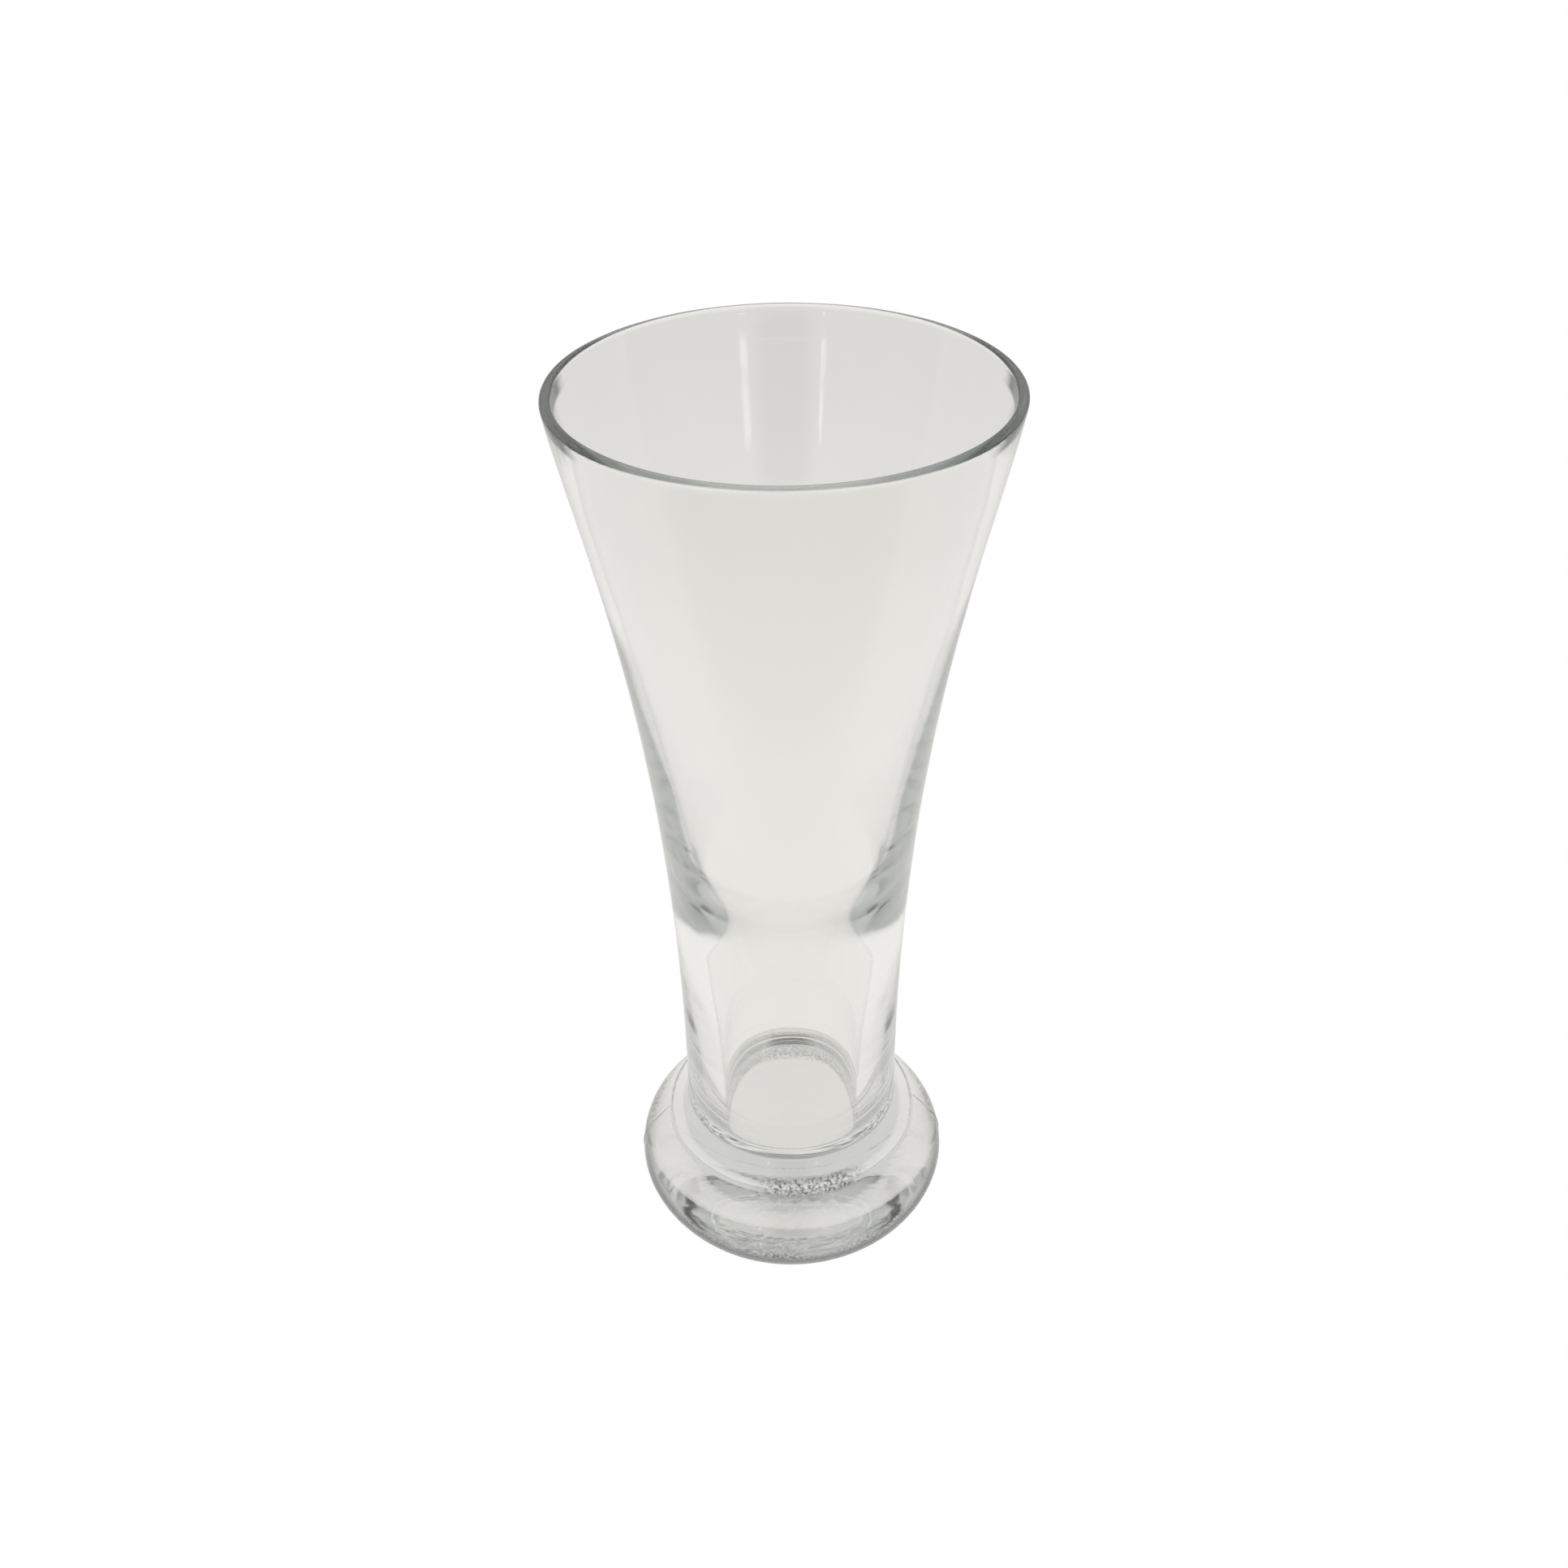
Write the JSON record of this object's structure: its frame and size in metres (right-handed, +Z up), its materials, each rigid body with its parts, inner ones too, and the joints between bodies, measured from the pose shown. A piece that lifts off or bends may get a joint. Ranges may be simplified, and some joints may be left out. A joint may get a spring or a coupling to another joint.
{
  "type": "footed pilsner glass",
  "caption": "Tall clear glass with a thin flared bowl that narrows to a thick neck on a heavy solid round foot, for pouring, stirring and serving drinks.",
  "frame": {"origin": "middle of the bearing ring, on the surface that the glass stands on", "axes": "+Z up along the glass's axis, from the foot to the mouth; X and Y lie in the base plane, with the mould's parting line near the X axis"},
  "size_m": [0.08, 0.08, 0.1871],
  "materials": {
    "glass": "fire-polished clear soda-lime glass with a faint grey-green tint"
  },
  "bodies": {
    "root": {"glass_body": "glass"}
  },
  "joints": []
}
